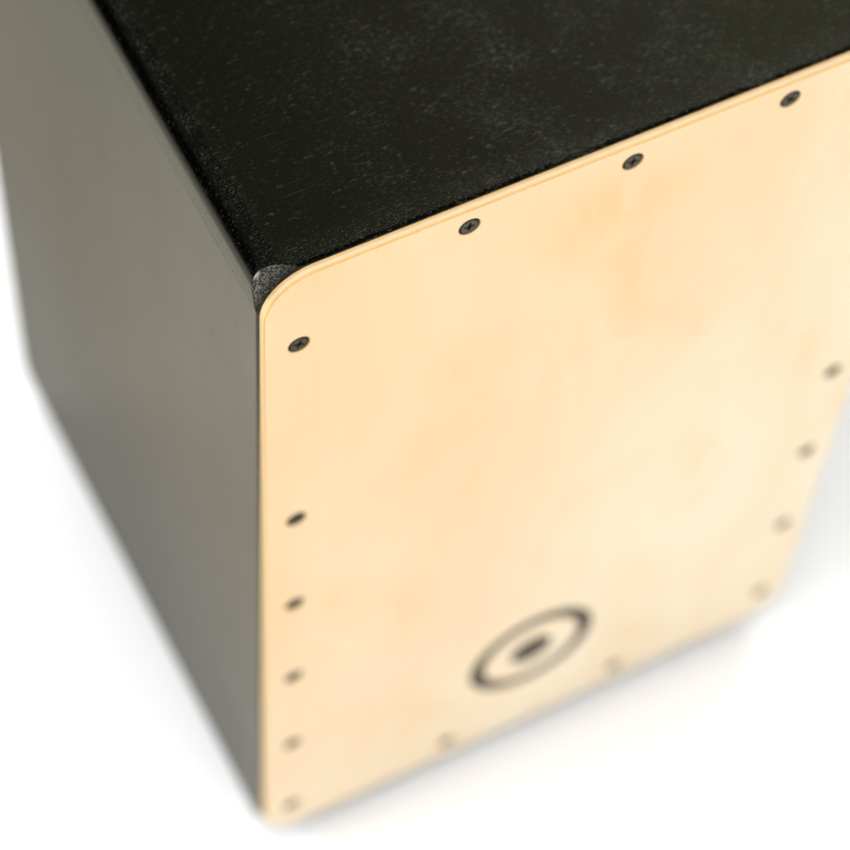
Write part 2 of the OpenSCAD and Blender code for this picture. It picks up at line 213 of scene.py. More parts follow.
def black_board(name, grain, seat=False, pore_depth=1.0, rim_wear=0.9):
    """Satin black stain over an open-grained board. grain is the axis the pores run along."""
    m = Surface(name)
    x, y, z = m.position()
    nx, ny, nz = m.facing()
    pore_scale = stretched(grain, along=430.0, across=2000.0)
    pores = m.noise(scale=pore_scale, rough=0.6)
    wide_pores = m.noise(scale=scaled(pore_scale, 0.55), offset=(3.1, 1.7, 5.3))
    streaks = m.noise(scale=stretched(grain, along=55, across=1500), offset=(8, 3, 1))
    patches = m.noise(scale=38, detail=3.0, rough=0.6, offset=(1.2, 0.4, 2.2))
    cloud = m.noise(scale=7, detail=3.0, offset=(5, 2, 1))

    # the seat has fewer open pores towards its left and its back
    openness = m.ramp(patches, span=(0.32, 0.70))
    if seat:
        toward = (m.ramp(x, span=(-0.13, -0.02), to=(0.20, 1.0))
                  * m.ramp(y, span=(0.08, -0.08), to=(0.35, 1.0)))
        openness = (openness * 0.88 + 0.12) * toward

    def flecks(pattern, threshold, widening, softness):
        """Open pores, wider where the board is more open."""
        start = threshold - openness * widening
        return m.ramp(pattern, span=(start, start + softness))

    fine_flecks = flecks(pores, threshold=0.625, widening=0.16, softness=0.11)
    wide_flecks = flecks(wide_pores, threshold=0.67, widening=0.09, softness=0.08)
    long_flecks = m.ramp(streaks, span=(0.67, 0.74)) * 0.55
    fleck = m.maximum(m.maximum(fine_flecks * 0.8, wide_flecks), long_flecks)
    stain = m.mix(m.ramp(cloud, span=(0.3, 0.7)),
                  under=(0.0002, 0.0002, 0.00015), over=(0.0005, 0.0005, 0.0004))

    # grit shows on the rim, on the sanded corners and just inside the rounded edges
    speck = m.noise(scale=1700, detail=3.0, rough=0.7, offset=(9, 4, 2))
    grit = m.ramp(speck, span=(0.55, 0.66))
    rim = m.ramp(abs(ny), span=(0.80, 0.97))
    across = abs(x)
    back = abs(y - DUST_AND_PAINTED_LIGHT_MID_Y)
    upright = abs(nz)
    toward_flat = (abs(nx) * FLAT_NORMAL[0]
                   + (abs(ny) * FLAT_NORMAL[1] + upright * FLAT_NORMAL[2]))
    flat = (m.ramp(toward_flat, span=(0.86, 0.95))
            * m.ramp(across, span=(0.128, 0.132)))
    flat = flat * m.ramp(upright, span=(0.05, 0.25))
    side_band = (m.ramp(across, span=(0.1450, 0.1433))
                 * m.ramp(across, span=(0.1355, 0.1405)))
    rim_band = m.ramp(back, span=(0.1476, 0.1466)) * m.ramp(back, span=(0.134, 0.1445))
    side_wear = m.ramp(m.noise(scale=85, detail=3.0, rough=0.6, offset=(2, 8, 3)),
                       span=(0.30, 0.60), to=(0.12, 1.0))
    rim_band_wear = m.ramp(m.noise(scale=140, rough=0.6, offset=(5, 2, 7)),
                           span=(0.25, 0.55), to=(0.35, 1.0))
    near_edge = m.maximum(side_band * side_wear, rim_band * rim_band_wear)
    near_edge = near_edge * m.ramp(nz, span=(0.55, 0.85))
    dust = grit * near_edge
    strength = m.ramp(m.noise(scale=420, rough=0.6), span=(0.3, 0.72),
                      to=(0.15, 1.0 if seat else 0.55))
    color = m.mix(fleck * strength, stain, over=(0.038, 0.039, 0.030))
    color = m.mix(dust * 0.85, color, over=(0.070, 0.071, 0.060))
    rim_color = m.mix(m.ramp(speck, span=(0.42, 0.68)),
                      under=(0.004, 0.004, 0.003), over=(0.085, 0.083, 0.075))
    color = m.mix(rim * rim_wear, color, rim_color)

    # painted shade darkens the flats towards the front and back faces and away from the sides, and a
    # painted highlight brightens their outermost tips
    coarse = m.noise(scale=1550, rough=0.65, offset=(6, 1, 7))
    cut = m.mix(m.ramp(coarse, span=(0.45, 0.61)),
                under=(0.004, 0.004, 0.003), over=(0.158, 0.154, 0.138))
    painted_flat_shade = (m.ramp(back, span=(0.1479, 0.1440), to=(0.18, 1.0))
            * m.ramp(across, span=(0.134, 0.147), to=(0.60, 1.0)))
    cut = m.mix(painted_flat_shade, under=(0.003, 0.003, 0.002), over=cut)
    # painted highlight on the outermost tip of each flat
    from_tip = m.distance(across - CORNER_TIP[0], back - CORNER_TIP[1],
                          abs(z - PAINTED_HIGHLIGHT_MID_Z) - CORNER_TIP[2])
    tip = (m.ramp(from_tip, span=(0.0036, 0.0010))
           * m.ramp(coarse, span=(0.36, 0.52), to=(0.35, 1.0)))
    cut = m.mix(tip, cut, over=(0.42, 0.415, 0.385))
    color = m.mix(flat, color, cut)

    fine = m.noise(scale=900, detail=3.0, rough=0.6, offset=(4, 4, 9))
    sanding = m.noise(scale=(900, 22, 900), offset=(1, 5, 2))
    # satin sheen, duller in the pores and on the flats
    rough = (m.ramp(cloud, span=(0.3, 0.7), to=(0.17, 0.21))
             + fleck * (0.25 * pore_depth))
    rough = rough + (sanding - 0.5) * 0.06
    rough = m.maximum(rough, flat * 0.42)
    # relief: fine tooth, sunken pores, grit, and sanding lines along the rounded edges
    height = fine * 0.22 - fleck * (0.5 * pore_depth)
    height = height + (grit * m.maximum(rim, flat)) * 1.6
    curve = m.ramp(upright, span=(0.03, 0.2)) * m.ramp(upright, span=(0.9, 0.6))
    curve = curve * m.ramp(abs(ny), span=(0.3, 0.1))
    height = height + (sanding * curve) * 2.4
    normal = m.bump(height, distance=0.00005, strength=0.5)
    # soft upright bands in the sheen of every board but the seat
    bands = 0.5 if seat else m.ramp(m.noise(scale=(24, 24, 2.0), offset=(2, 6, 1)),
                                    span=(0.30, 0.70), to=(0.465, 0.535))
    return m.done(m.principled(color=color, rough=rough, spec=bands, ior=1.5, normal=normal))


def birch_plate(name):
    """Pale birch ply: vertical figure on the faces, glue lines and a bright core on the rim."""
    m = Surface(name)
    x, y, z = m.position()
    nx, ny, _ = m.facing()
    broad = m.noise(scale=(15, 15, 6), detail=3.0, offset=(0.3, 0, 0.9), distort=0.6)
    mottle = m.noise(scale=(30, 30, 17), detail=3.0, rough=0.55, offset=(4.1, 0, 2.2),
                     distort=0.4)
    streak = m.noise(scale=(300, 300, 4.0), detail=3.0, rough=0.6, offset=(1, 0, 6))
    fibre = m.noise(scale=(1600, 1600, 26), rough=0.6, offset=(7, 0, 1))
    fine = m.noise(scale=(2600, 2600, 120), offset=(2, 0, 4))

    # face veneer, with painted light making it paler towards the lower right
    pale = m.ramp(x * 0.75 - z * 0.55, span=(-0.36, 0.05))
    face = m.mix(m.ramp(broad, span=(0.32, 0.68)),
                 under=(0.880, 0.622, 0.370), over=(0.905, 0.672, 0.428))
    painted_lit_face = m.mix(m.ramp(broad, span=(0.32, 0.68)),
                      under=(0.905, 0.755, 0.585), over=(0.925, 0.815, 0.680))
    face = m.mix(pale, face, painted_lit_face)
    face = m.mix(m.ramp(mottle, span=(0.52, 0.74)) * 0.40, face, over=(0.860, 0.570, 0.290))
    # a warmer flame in the veneer, high up near the middle and wider than it is tall
    flame_x, flame_z = -0.010, 0.462
    from_flame = m.distance((x - flame_x) * 1.0, (z - flame_z) * 1.25)
    licks = m.noise(scale=(70, 70, 34), detail=3.0, rough=0.6, offset=(2, 0, 5), distort=0.8)
    flame = (m.ramp(from_flame, span=(0.044, 0.006))
             * m.ramp(licks, span=(0.35, 0.62), to=(0.25, 1.0)))
    face = m.mix(flame * 0.55, face, over=(0.860, 0.560, 0.250))
    face = m.mix(m.ramp(streak, span=(0.52, 0.72)) * 0.16, face, over=(0.820, 0.590, 0.320))
    face = m.mix(m.ramp(fibre, span=(0.55, 0.75)) * 0.10, face, over=(0.760, 0.540, 0.290))

    # rim layers, in millimetres from the back of the plate, with a slight waver
    depth = (plate_back - y) * 1000.0
    depth = depth + (m.noise(scale=60) - 0.5) * 0.35
    along = m.noise(scale=(150, 900, 150), detail=3.0, rough=0.6, offset=(3, 1, 8))
    core = m.mix(m.ramp(along, span=(0.35, 0.65)),
                 under=(0.640, 0.515, 0.355), over=(0.610, 0.475, 0.300))
    skin = m.mix(m.ramp(along, span=(0.35, 0.65)),
                 under=(0.560, 0.385, 0.190), over=(0.535, 0.345, 0.155))
    layers = m.mix(m.ramp(depth, span=(1.0, 2.0)), skin, core)
    layers = m.mix(m.ramp(depth, span=(2.7, 3.2)), layers, over=(0.620, 0.410, 0.180))
    edge = m.ramp(abs(ny), span=(0.995, 0.80))
    color = m.mix(edge, face, layers)
    # a broken darker line on the front arris
    arris = m.ramp(depth, span=(3.2, 3.5)) * m.ramp(abs(ny), span=(0.01, 0.15))
    arris = arris * m.ramp(abs(ny), span=(0.999, 0.93))
    broken = m.ramp(m.noise(scale=240, offset=(5, 5, 5)), span=(0.30, 0.55), to=(0.45, 1.0))
    color = m.mix(arris * broken, color, over=(0.660, 0.385, 0.125))
    # painted light and shade: the rims that face sideways are painted paler than those facing up and
    # down
    painted_light_side_rim = m.ramp(abs(nx), span=(0.75, 0.98)) * edge
    color = m.mix(painted_light_side_rim * 0.8, color, over=(0.890, 0.645, 0.320))
    rough = 0.42 + fibre * 0.10
    height = fibre * 0.6 + fine * 0.4

    # a plain ring round a dot, printed low on the front face, thin in places
    print_x, print_z = -0.006, 0.098
    radius = m.distance(x - print_x, z - print_z)
    ring = m.ramp(radius, span=(0.0340, 0.0336)) * m.ramp(radius, span=(0.0256, 0.0260))
    mask = m.maximum(ring, m.ramp(radius, span=(0.0116, 0.0112)))
    ink = mask * m.ramp(ny * -1.0, span=(0.9, 0.98))
    ink = ink * m.ramp(m.noise(scale=(900, 900, 260), rough=0.6),
                       span=(0.25, 0.5), to=(0.86, 1.0))
    color = m.mix(ink, color, over=(0.060, 0.050, 0.044))
    rough = rough - ink * 0.08
    normal = m.bump(height, distance=0.00003, strength=0.35)
    return m.done(m.principled(color=color, rough=rough, spec=0.35, ior=1.46, normal=normal,
                               coat=0.06, coat_rough=0.30))


def bare_wood(name, light, dark, grain):
    m = Surface(name)
    scale = stretched(grain, along=6.0, across=260.0)
    rings = m.noise(scale=scaled(scale, 0.28), detail=3.0, offset=(1, 2, 3), distort=0.5)
    fibre = m.noise(scale=scaled(scale, 5), detail=3.0, rough=0.6)
    color = m.mix(m.ramp(rings, span=(0.35, 0.65)), light, dark)
    color = m.mix(m.ramp(fibre, span=(0.5, 0.72)) * 0.4, color, over=scaled(dark, 0.62))
    return m.done(m.principled(
        color=color, rough=m.ramp(fibre, span=(0.3, 0.7), to=(0.55, 0.72)), spec=0.3,
        normal=m.bump(fibre, distance=0.00008, strength=0.5)))


def black_oxide(name, brightness, metal, spec):
    m = Surface(name)
    grain = m.noise(scale=900, detail=3.0, rough=0.6)
    cloud = m.noise(scale=260, offset=(3, 3, 1))
    color = m.mix(m.ramp(cloud, span=(0.35, 0.7)),
                  under=scaled((0.056, 0.055, 0.046), brightness),
                  over=scaled((0.086, 0.083, 0.070), brightness))
    color = m.mix(m.ramp(grain, span=(0.62, 0.75)) * 0.5, color,
                  over=scaled((0.15, 0.15, 0.13), brightness))
    return m.done(m.principled(
        color=color, metal=metal, spec=spec,
        rough=m.ramp(grain, span=(0.3, 0.7), to=(0.26, 0.42)),
        normal=m.bump(grain, distance=0.00003, strength=0.4)))


def steel(name, tint, rough=0.32, brushed="X"):
    """Bright metal with brush marks along one axis."""
    m = Surface(name)
    brush = m.noise(scale=stretched(brushed, along=60, across=2600), rough=0.6)
    spot = m.noise(scale=180, detail=3.0, rough=0.6, offset=(6, 1, 2))
    color = m.mix(m.ramp(spot, span=(0.35, 0.7)), under=tint, over=scaled(tint, 0.78))
    return m.done(m.principled(
        color=color, metal=1.0,
        rough=m.ramp(brush, span=(0.3, 0.7), to=(rough - 0.06, rough + 0.12)),
        normal=m.bump(brush, distance=0.00002, strength=0.3)))


def rubber(name):
    m = Surface(name)
    grain = m.noise(scale=1300, detail=3.0, rough=0.6)
    cloud = m.noise(scale=90, detail=3.0, rough=0.55, offset=(2, 2, 2))
    color = m.mix(m.ramp(cloud, span=(0.35, 0.7)),
                  under=(0.014, 0.014, 0.014), over=(0.030, 0.029, 0.027))
    return m.done(m.principled(
        color=color, rough=m.ramp(cloud, span=(0.3, 0.7), to=(0.62, 0.8)), spec=0.35,
        normal=m.bump(grain, distance=0.00008, strength=0.5)))


PINE = {"light": (0.62, 0.44, 0.25), "dark": (0.50, 0.32, 0.16)}
BEECH = {"light": (0.56, 0.37, 0.21), "dark": (0.46, 0.28, 0.15)}
MATS = {
    "seat": black_board("black_satin_seat", "X", seat=True),
    "side": black_board("black_satin_side", "Z", pore_depth=0.35),
    "back": black_board("black_satin_back", "Z", rim_wear=0.22),
    "birch": birch_plate("birch_face"),
    "pine": bare_wood("planed_pine", grain="Z", **PINE),
    "pine_x": bare_wood("planed_pine_across", grain="X", **PINE),
    "beech": bare_wood("sanded_beech", grain="X", **BEECH),
    "screw": black_oxide("black_oxide", brightness=1.35, metal=0.9, spec=0.5),
    # near-black copy used as painted shade in the screw recesses and round the heads
    "screw_painted_shade": black_oxide("black_oxide_painted_shade", brightness=0.10, metal=0.0, spec=0.08),
    "zinc": steel("zinc_plate", tint=(0.58, 0.58, 0.55)),
    "strip": steel("rolled_strip", tint=(0.60, 0.57, 0.50), rough=0.3),
    "wire": steel("spring_wire", tint=(0.66, 0.66, 0.64), rough=0.25, brushed="Z"),
    "rubber": rubber("moulded_rubber"),
}


def dress(material, *nodes):
    """Give CAD pieces that keep their own mesh a single material."""
    for node in nodes:
        mesh = NODES[node].data
        mesh.materials.clear()
        mesh.materials.append(MATS[material])
        for face in mesh.polygons:
            face.material_index = 0


# ---------------------------------------------------------------- mesh helpers

def add_object(name, data):
    made = bpy.data.objects.new(name, data)
    scene.collection.objects.link(made)
    return made


def mark_sharp(mesh, degrees):
    bm = bmesh.new()
    bm.from_mesh(mesh)
    limit = math.radians(degrees)
    for edge in bm.edges:
        if len(edge.link_faces) != 2 or edge.calc_face_angle(0) > limit:
            edge.smooth = False
    bm.to_mesh(mesh)
    bm.free()


def add_piece(name, mesh, materials, body, node, sharp=None):
    """Stand a mesh in for a CAD node. sharp is the angle in degrees above which edges stay
    crisp; without it the piece gets no weighted normals."""
    for material in materials:
        mesh.materials.append(MATS[material])
    mesh.shade_smooth()
    piece = add_object(name, mesh)
    if sharp is not None:
        weighted = piece.modifiers.new("weighted", "WEIGHTED_NORMAL")
        weighted.mode = "FACE_AREA"
        weighted.weight = 60
        weighted.keep_sharp = True
    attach(piece, body)
    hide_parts(node)
    if sharp is not None:
        mark_sharp(mesh, sharp)


def middle(low, high):
    return [(a + b) / 2 for a, b in zip(low, high)]


def circle(x, z, radius, count):
    turns = [2 * math.pi * k / count for k in range(count)]
    return [(x + radius * math.cos(turn), z + radius * math.sin(turn)) for turn in turns]


def rounded_rect(low, high, inset, radius, steps):
    """Points (x, z) round a box's outline, moved in by inset."""
    x0, z0, x1, z1 = low.x + inset, low.z + inset, high.x - inset, high.z - inset
    points = []
    for x, z, start in ((x1 - radius, z1 - radius, 0), (x0 + radius, z1 - radius, 90),
                        (x0 + radius, z0 + radius, 180), (x1 - radius, z0 + radius, 270)):
        for k in range(steps + 1):
            turn = math.radians(start + 90 * k / steps)
            points.append((x + radius * math.cos(turn), z + radius * math.sin(turn)))
    return points


def quarter_round(radius, steps):
    """Pairs (distance in from the edge, distance below the face) from the face outwards."""
    turns = [math.radians(90 * k / steps) for k in range(steps + 1)]
    return [(radius * (1 - math.sin(turn)), radius * (1 - math.cos(turn))) for turn in turns]


def bridge(first, second):
    """Quads between two closed loops of equal length."""
    count = len(first)
    return [(first[k], first[(k + 1) % count], second[(k + 1) % count], second[k])
            for k in range(count)]


def board_mesh(name, outline, holes, y_out, y_in, ease, steps):
    """A flat board in the XZ plane. outline(inset) gives its rim, y_out is the outer face.
    Each hole is (x, z, [(radius, y) from the outer face to the inner one], segments)."""
    bm = bmesh.new()
    inward = 1 if y_in > y_out else -1

    def loop(points, y):
        return [bm.verts.new((x, y, z)) for x, z in points]

    def skin(loops):
        for first, second in zip(loops, loops[1:]):
            for quad in bridge(first, second):
                bm.faces.new(quad)

    eased = quarter_round(ease, steps)
    rims = [loop(outline(inset), y_out + inward * drop) for inset, drop in eased]
    rims += [loop(outline(inset), y_in - inward * drop) for inset, drop in reversed(eased)]
    skin(rims)
    outer_loops, inner_loops = [rims[0]], [rims[-1]]
    for x, z, profile, segments in holes:
        walls = [loop(circle(x, z, radius, segments), y) for radius, y in profile]
        skin(walls)
        outer_loops.append(walls[0])
        inner_loops.append(walls[-1])
    for group in (outer_loops, inner_loops):
        edges = [bm.edges.get((verts[k], verts[(k + 1) % len(verts)]))
                 for verts in group for k in range(len(verts))]
        bmesh.ops.triangle_fill(bm, use_beauty=True, use_dissolve=False, edges=edges)
    bmesh.ops.recalc_face_normals(bm, faces=bm.faces)
    mesh = bpy.data.meshes.new(name)
    bm.to_mesh(mesh)
    bm.free()
    return mesh


def closed_mesh(name, verts, faces):
    """A mesh with doubled points merged and normals outwards."""
    mesh = bpy.data.meshes.new(name)
    mesh.from_pydata(verts, [], faces)
    bm = bmesh.new()
    bm.from_mesh(mesh)
    bmesh.ops.remove_doubles(bm, verts=bm.verts, dist=1e-7)
    bmesh.ops.recalc_face_normals(bm, faces=bm.faces)
    bm.to_mesh(mesh)
    bm.free()
    return mesh


def lathe(name, profile, segments):
    """Turn a profile of (radius, z) about z. It ends on the axis or returns to its start."""
    verts, faces, rings = [], [], []
    for radius, z in profile:
        start = len(verts)
        if radius < 1e-9:
            verts.append((0, 0, z))
        else:
            verts += [(x, y, z) for x, y in circle(0, 0, radius, segments)]
        rings.append(list(range(start, len(verts))))
    for a, b in zip(rings, rings[1:]):
        if len(a) == 1 and len(b) == 1:
            continue
        for k in range(segments):
            after = (k + 1) % segments
            if len(a) == 1:
                faces.append((a[0], b[k], b[after]))
            elif len(b) == 1:
                faces.append((a[k], b[0], a[after]))
            else:
                faces.append((a[k], b[k], b[after], a[after]))
    return closed_mesh(name, verts, faces)


def boolean_cut(mesh, cutter_mesh):
    body = add_object("cut_a", mesh)
    cutter = add_object("cut_b", cutter_mesh)
    cut = body.modifiers.new("cut", "BOOLEAN")
    cut.operation = "DIFFERENCE"
    cut.solver = "EXACT"
    cut.object = cutter
    depsgraph = bpy.context.evaluated_depsgraph_get()
    result = bpy.data.meshes.new_from_object(body.evaluated_get(depsgraph))
    bpy.data.objects.remove(body)
    bpy.data.objects.remove(cutter)
    return result


def solid_boxes(node):
    """Low and high corners of the separate solids in a node, lowest first."""
    mesh = NODES[node].data
    parent = list(range(len(mesh.vertices)))

    def root(index):
        while parent[index] != index:
            parent[index] = parent[parent[index]]
            index = parent[index]
        return index

    # join vertices that share a place, then those that share an edge
    seen = {}
    for vertex in mesh.vertices:
        spot = tuple(round(value, 6) for value in vertex.co)
        if spot in seen:
            parent[root(vertex.index)] = root(seen[spot])
        else:
            seen[spot] = vertex.index
    for edge in mesh.edges:
        a, b = root(edge.vertices[0]), root(edge.vertices[1])
        if a != b:
            parent[a] = b
    solids = {}
    for vertex in mesh.vertices:
        solids.setdefault(root(vertex.index), []).append(vertex.co)
    boxes = [tuple(Vector([pick(co[axis] for co in places) for axis in range(3)])
                   for pick in (min, max)) for places in solids.values()]
    boxes.sort(key=lambda box: (round(box[0].z, 4), round(box[0].x, 4), round(box[0].y, 4)))
    return boxes


# ---------------------------------------------------------------- countersunk screws

HEAD_R, SHANK_R = 4.3 * MM, 2.0 * MM              # plate screws
BACK_HEAD_R, BACK_SHANK_R = 3.6 * MM, 1.75 * MM   # back board screws
THREAD_PITCH = 1.35 * MM
BLADE_WIDTH = 0.92 * MM
RECESS_DEPTH = 1.8 * MM
RECESS_TOP = -0.3 * MM   # the cutters start a little above the head
# rolled edge of the head, in millimetres: (distance in from the rim, depth below the face)
HEAD_EDGE = [(0.92, 0.02), (0.60, 0.03), (0.36, 0.06), (0.18, 0.13), (0.05, 0.25),
             (0.0, 0.40), (0.0, 0.5)]


def recess_blade(length, turn):
    """One tapered blade of a cross recess, pointing to +z."""
    width = BLADE_WIDTH
    verts = []
    # (z, half length, half width) at the opening and at the bottom
    for z, half_length, half_width in ((RECESS_TOP, length * 0.5, width * 0.53),
                                       (RECESS_DEPTH, length * 0.20, width * 0.36)):
        for side_x, side_y in ((-1, -1), (1, -1), (1, 1), (-1, 1)):
            x, y = side_x * half_length, side_y * half_width
            verts.append((x * math.cos(turn) - y * math.sin(turn),
                          x * math.sin(turn) + y * math.cos(turn), z))
    faces = [(3, 2, 1, 0), (4, 5, 6, 7), (0, 1, 5, 4), (1, 2, 6, 5), (2, 3, 7, 6), (3, 0, 4, 7)]
    return closed_mesh("blade", verts, faces)


def cut_cross(mesh, head_r):
    for turn in (0.0, math.pi / 2):
        mesh = boolean_cut(mesh, recess_blade(head_r * 1.18, turn))
    pocket = [(0, RECESS_TOP), (head_r * 0.25, RECESS_TOP),
              (head_r * 0.19, RECESS_DEPTH * 0.9), (0, RECESS_DEPTH * 1.15)]
    return boolean_cut(mesh, lathe("pocket", pocket, 20))


def screw_mesh(head_r, shank_r, length):
    """Countersunk screw pointing to +z with its face at z = 0."""
    head_depth = head_r - shank_r + 0.5 * MM
    core_r = shank_r * 0.74
    profile = [(0, HEAD_EDGE[0][1] * MM)]
    profile += [(head_r - inset * MM, depth * MM) for inset, depth in HEAD_EDGE]
    profile += [(shank_r + 0.2 * MM, head_depth - 0.2 * MM), (shank_r, head_depth + 0.15 * MM)]
    z = head_depth + 0.3 * MM
    tip = length - 2.2 * shank_r
    profile.append((core_r, z))
    while z + THREAD_PITCH < tip:
        profile += [(radius, z + THREAD_PITCH * part) for radius, part in
                    ((core_r, 0.25), (shank_r, 0.55), (shank_r, 0.62), (core_r, 0.95))]
        z += THREAD_PITCH
    profile += [(core_r, tip), (core_r * 0.3, length - 0.2 * MM), (0, length)]
    mesh = cut_cross(lathe("screw", profile, 48), head_r)
    # the recess and the rim of the head take the dark second material, painted shade in the cross
    # and round the edge of the head
    for face in mesh.polygons:
        radius, z = math.hypot(face.center.x, face.center.y), face.center.z
        recess = 0.06 * MM < z < 2.3 * MM and radius < head_r * 0.53
        rim = z < 1.0 * MM and radius > head_r - 0.94 * MM
        face.material_index = 1 if recess or rim else 0
    return mesh


def screw_spots(node):
    """(x, z, length) of each screw in a node."""
    spots = []
    for low, high in solid_boxes(node):
        x, _, z = middle(low, high)
        spots.append((x, z, high.y - low.y))
    return spots


def screw_pose(x, y, z, tilt):
    """A screw at a place, tilted about x by degrees and turned about itself at random."""
    spin = Matrix.Rotation(random.uniform(0, math.pi / 2), 4, "Z")
    return Matrix.Translation((x, y, z)) @ Matrix.Rotation(math.radians(tilt), 4, "X") @ spin


def place_screws(name, screw, poses, body, node):
    """One object holding a copy of the screw at each pose."""
    bm = bmesh.new()
    for pose in poses:
        copy = screw.copy()
        copy.transform(pose)
        bm.from_mesh(copy)
        bpy.data.meshes.remove(copy)
    bmesh.ops.recalc_face_normals(bm, faces=bm.faces)
    mesh = bpy.data.meshes.new(name)
    bm.to_mesh(mesh)
    bm.free()
    add_piece(name, mesh, ["screw", "screw_painted_shade"], body, node, sharp=35)


# ---------------------------------------------------------------- the striking plate

PLATE_CORNER_R = 21 * MM
# (CAD node, name of the piece, body it rides on)
PLATE_SCREWS = [
    ("frontplate_screws_left", "plate_screws_left", "box"),
    ("frontplate_screws_right", "plate_screws_right", "box"),
    ("frontplate_screws_top", "plate_screws_top", "box"),
    ("frontplate_screws_bottom", "plate_screws_bottom", "box"),
    ("slap_screw_left", "slap_corner_screw_left", "slap_screw_left"),
    ("slap_screw_right", "slap_corner_screw_right", "slap_screw_right"),
]


def plate_outline(inset):
    return rounded_rect(plate_low, plate_high, inset, PLATE_CORNER_R - inset, 20)


plate_spots = {node: screw_spots(node) for node, _, _ in PLATE_SCREWS}
sink_r = HEAD_R + 0.12 * MM
hole_r = SHANK_R + 0.12 * MM
plate_hole = [
    (sink_r + 0.22 * MM, plate_face), (sink_r + 0.06 * MM, plate_face + 0.07 * MM),
    (sink_r, plate_face + 0.22 * MM), (sink_r, plate_face + 0.5 * MM),
    (hole_r, plate_face + 2.85 * MM), (hole_r, plate_back)]
plate_holes = [(x, z, plate_hole, 48) for spots in plate_spots.values() for x, z, _ in spots]
plate = board_mesh("striking_plate", plate_outline, plate_holes, plate_face, plate_back,
                   ease=0.55 * MM, steps=5)
add_piece("striking_plate", plate, ["birch"], "box", "frontplate", sharp=50)

screw_by_length = {}
for node, name, body in PLATE_SCREWS:
    poses = []
    for x, z, length in plate_spots[node]:
        size = round(length, 4)
        if size not in screw_by_length:
            screw_by_length[size] = screw_mesh(HEAD_R, SHANK_R, length)
        poses.append(screw_pose(x, plate_face, z, tilt=-90))
    place_screws(name, screw_by_length[size], poses, body, node)

# ---------------------------------------------------------------- the back board

PORT_ROUND = 2.2 * MM   # rounding on both lips of the sound port
back_low, back_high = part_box("back_panel")
back_face, back_inside = back_high.y, back_low.y


def back_outline(inset):
    return rounded_rect(back_low, back_high, inset, 0.6 * MM, 3)


back_spots = screw_spots("back_panel_screws")
sink_r = BACK_HEAD_R + 0.1 * MM
hole_r = BACK_SHANK_R + 0.1 * MM
back_hole = [(sink_r + 0.15 * MM, back_face), (sink_r, back_face - 0.2 * MM),
             (sink_r, back_face - 0.5 * MM), (hole_r, back_face - 2.3 * MM),
             (hole_r, back_inside)]
back_holes = [(x, z, back_hole, 40) for x, z, _ in back_spots]
port = next(mount for mount in frame["record"]["mounts"] if mount["name"] == "sound_port")
port_r = port["dims"]["r_mm"] * MM
lip = quarter_round(PORT_ROUND, 6)
port_profile = [(port_r + flare, back_face - drop) for flare, drop in lip]
port_profile += [(port_r + flare, back_inside + drop) for flare, drop in reversed(lip)]
back_holes.append((port["pos_m"][0], port["pos_m"][2], port_profile, 128))
back_board = board_mesh("back_board", back_outline, back_holes, back_face, back_inside,
                        ease=0.4 * MM, steps=3)
add_piece("back_board", back_board, ["back"], "box", "back_panel", sharp=50)

back_screw = screw_mesh(BACK_HEAD_R, BACK_SHANK_R, back_spots[0][2])
poses = [screw_pose(x, back_face, z, tilt=90) for x, z, _ in back_spots]
place_screws("back_board_screws", back_screw, poses, "box", "back_panel_screws")

# ---------------------------------------------------------------- seat and base boards

seat_low, seat_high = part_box("seat_panel")
half_x = max(abs(seat_low.x), abs(seat_high.x))
front_y, rear_y = seat_low.y, seat_high.y
mid_y, half_y = (front_y + rear_y) / 2, (rear_y - front_y) / 2
EDGE_R = 10 * MM          # long rounded edges at the ends of the boards
RIM_R, EASE_R = 2 * MM, 1 * MM   # front and rear rims, on the level faces and on the ends
FLAT_R = 0.4 * MM         # round where a corner flat meets the board
# flats sanded off the corners: they run 17.3 mm across, 9.8 mm back and 20.5 mm down
flat_normal = Vector((1 / 17.3, 1 / 9.8, 1 / 20.5))
flat_depth = MM / flat_normal.length
flat_normal.normalize()
LEAN = math.radians(4)    # the seat's ends lean in above this depth below its top
LEAN_DEPTH = 16.6 * MM
LEAN_SOFT = 0.3 * MM      # softness of the turn into the lean
GRID_FINE, GRID_COARSE = 0.5 * MM, 12 * MM


def round_max(a, b, radius):
    """The larger of two distances with a round where they meet, and its two slopes."""
    u, v = a + radius, b + radius
    if u > 0 and v > 0:
        reach = math.hypot(u, v)
        return reach - radius, u / reach, v / reach
    return (a, 1.0, 0.0) if a > b else (b, 0.0, 1.0)


